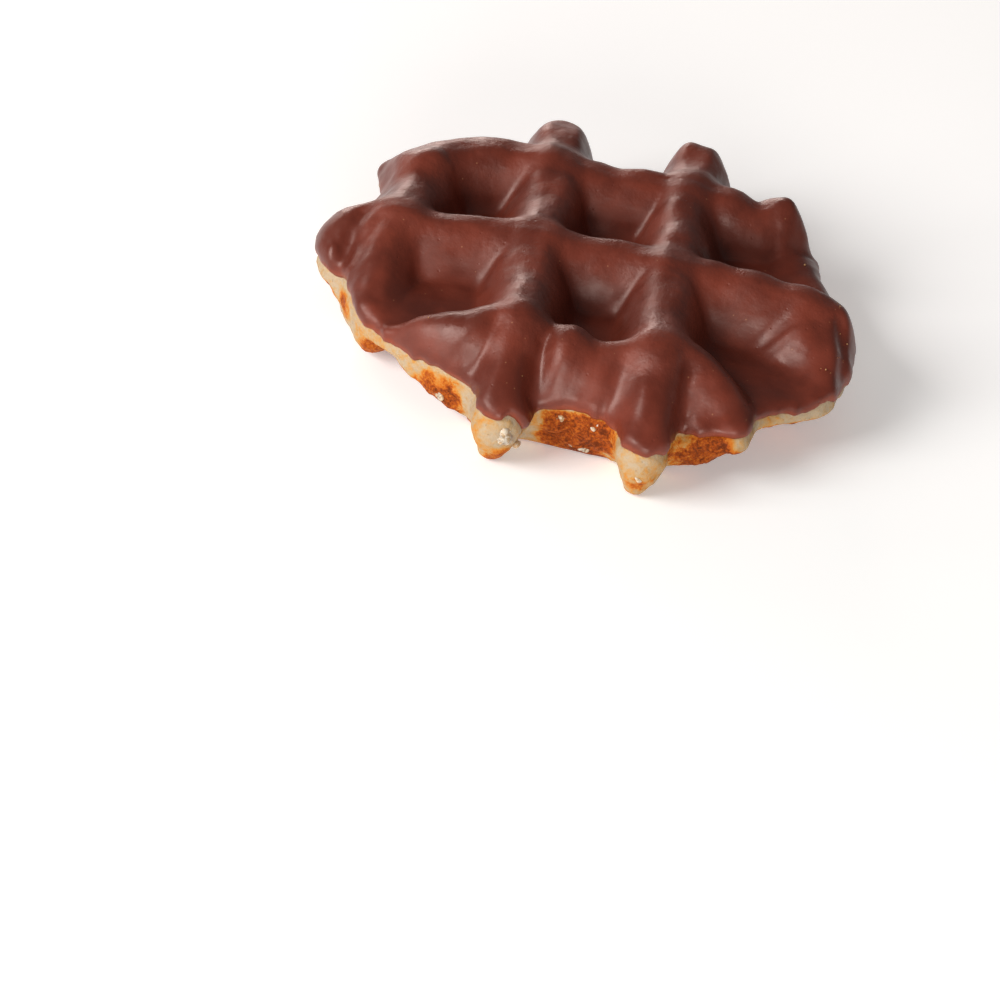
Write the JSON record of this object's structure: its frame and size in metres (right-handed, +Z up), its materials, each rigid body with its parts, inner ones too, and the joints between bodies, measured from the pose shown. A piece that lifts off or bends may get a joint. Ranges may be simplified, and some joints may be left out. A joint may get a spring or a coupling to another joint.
{
  "type": "chocolate-coated belgian waffle",
  "caption": "Thick square-ribbed belgian waffle with lugs at its rib ends and a chocolate coat over its top and upper sides.",
  "frame": {"origin": "centre of the underside, on the surface that the waffle rests on", "axes": "+Z up, out of the coated face; +X along the cross ribs, to the right; -Y towards the front, where the bare dough shows"},
  "size_m": [0.0976, 0.0916, 0.023],
  "materials": {
    "waffle_dough": "baked dough, cream at the sides and browned where the iron touched it",
    "chocolate": "set milk chocolate, satin to semi-gloss"
  },
  "bodies": {
    "root": {"waffle": "waffle_dough", "chocolate_coating": "chocolate"}
  },
  "joints": []
}
